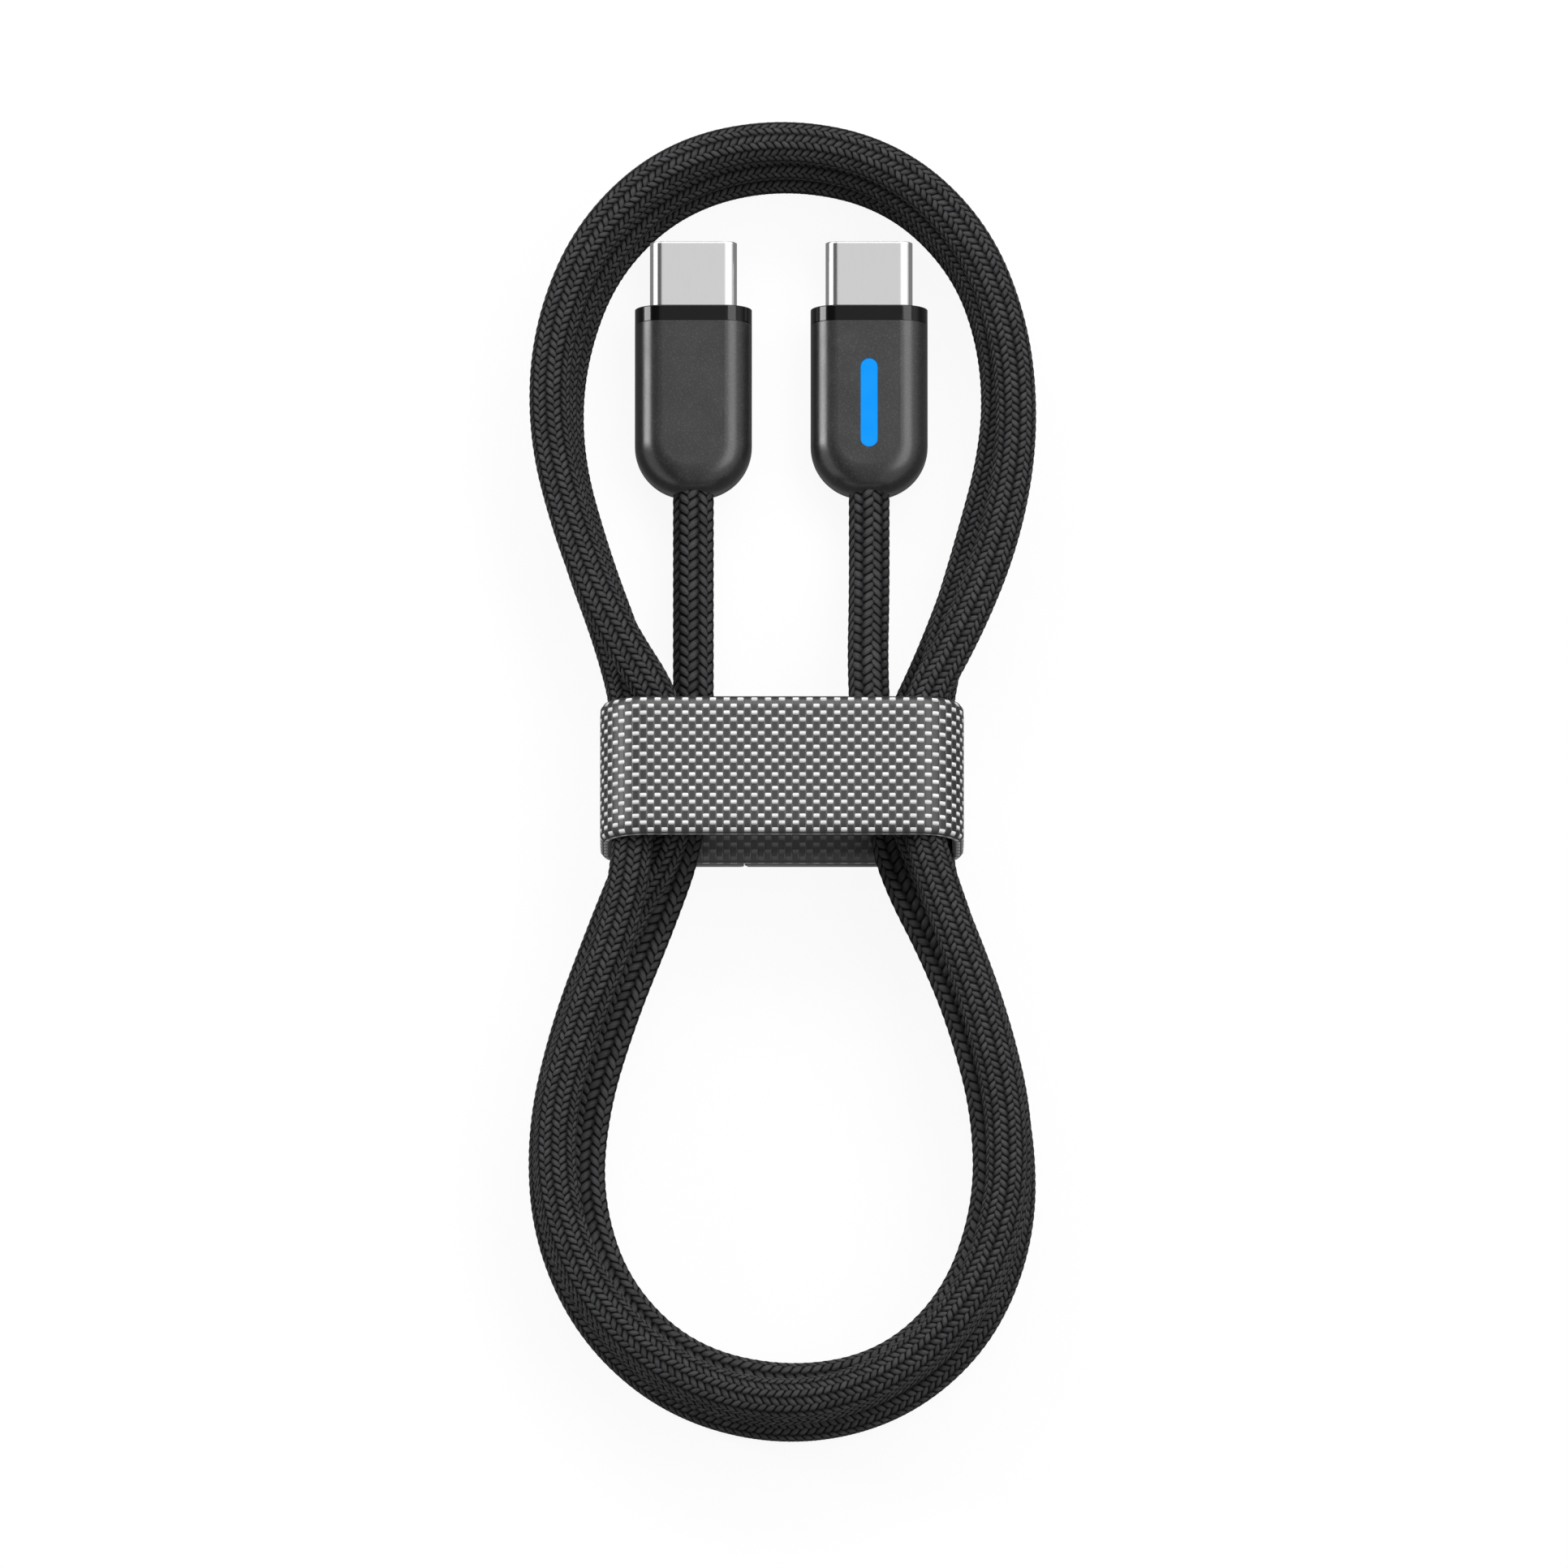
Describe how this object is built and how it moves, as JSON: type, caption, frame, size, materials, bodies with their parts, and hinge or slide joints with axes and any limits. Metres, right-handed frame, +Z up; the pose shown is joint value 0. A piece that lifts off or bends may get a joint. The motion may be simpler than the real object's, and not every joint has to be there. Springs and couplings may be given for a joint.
{
  "type": "charging cable",
  "caption": "Braided charging cable with a flat reversible plug at each end, wound into an hourglass hank and held by a woven strap with a pull tab.",
  "frame": {"origin": "centre of the strap's underside, on the surface that the cable lies on", "axes": "+X to the right across the strap, +Y from the strap towards the two plugs, +Z up"},
  "size_m": [0.0479, 0.1262, 0.015],
  "materials": {
    "nickel_steel": "bright nickel plate, drawn tube",
    "black_insulator": "moulded, slightly satin",
    "gold_contact": "gold plated",
    "spring_steel": "stamped",
    "board_resin": "green solder mask",
    "chip_black": "moulded package",
    "core_insulation": "coloured insulation",
    "crimp_brass": "plated crimp",
    "natural_mould": "low pressure mould",
    "dark_housing": "fine matt with a slight sparkle",
    "gloss_bezel": "polished",
    "blue_light_bar": "lit translucent bar",
    "led_lens": "clear epoxy lens",
    "webbing": "woven webbing with fine light dashes",
    "loop_pile": "short loop pile",
    "hook_tape": "moulded hook tape",
    "braid": "braided sleeve"
  },
  "bodies": {
    "cable": {"left_plug_shell": "nickel_steel", "left_plug_contact_carrier": "black_insulator", "left_plug_contacts_top": "gold_contact", "left_plug_contacts_bottom": "gold_contact", "left_plug_latch_spring": "spring_steel", "left_plug_ground_springs": "spring_steel", "left_plug_circuit_board": "board_resin", "left_plug_board_parts": "chip_black", "left_plug_wires": "core_insulation", "left_plug_crimp_ferrule": "crimp_brass", "left_plug_inner_mould": "natural_mould", "left_plug_housing": "dark_housing", "left_plug_front_bezel": "gloss_bezel", "right_plug_shell": "nickel_steel", "right_plug_contact_carrier": "black_insulator", "right_plug_contacts_top": "gold_contact", "right_plug_contacts_bottom": "gold_contact", "right_plug_latch_spring": "spring_steel", "right_plug_ground_springs": "spring_steel", "right_plug_circuit_board": "board_resin", "right_plug_board_parts": "chip_black", "right_plug_wires": "core_insulation", "right_plug_crimp_ferrule": "crimp_brass", "right_plug_inner_mould": "natural_mould", "right_plug_housing": "dark_housing", "right_plug_front_bezel": "gloss_bezel", "right_plug_light_bar": "blue_light_bar", "right_plug_indicator_leds": "led_lens", "strap_band": "webbing", "strap_loop_patch": "loop_pile", "strap_hook_patch": "hook_tape", "strap_tail": "webbing", "cord_left_leg": "braid", "cord_lower_pass_1": "braid", "cord_upper_pass_1": "braid", "cord_lower_pass_2": "braid", "cord_upper_pass_2": "braid", "cord_lower_pass_3": "braid", "cord_upper_pass_3": "braid", "cord_lower_pass_4": "braid", "cord_right_leg": "braid"},
    "pull_tab": {"strap_tab": "webbing"}
  },
  "joints": [
    {"name": "tab_fold", "type": "hinge", "parent": "cable", "child": "pull_tab", "pos_m": [-0.004, 0, 0.0004], "axis": [0, -1, 0], "range_deg": [0, 120]}
  ]
}
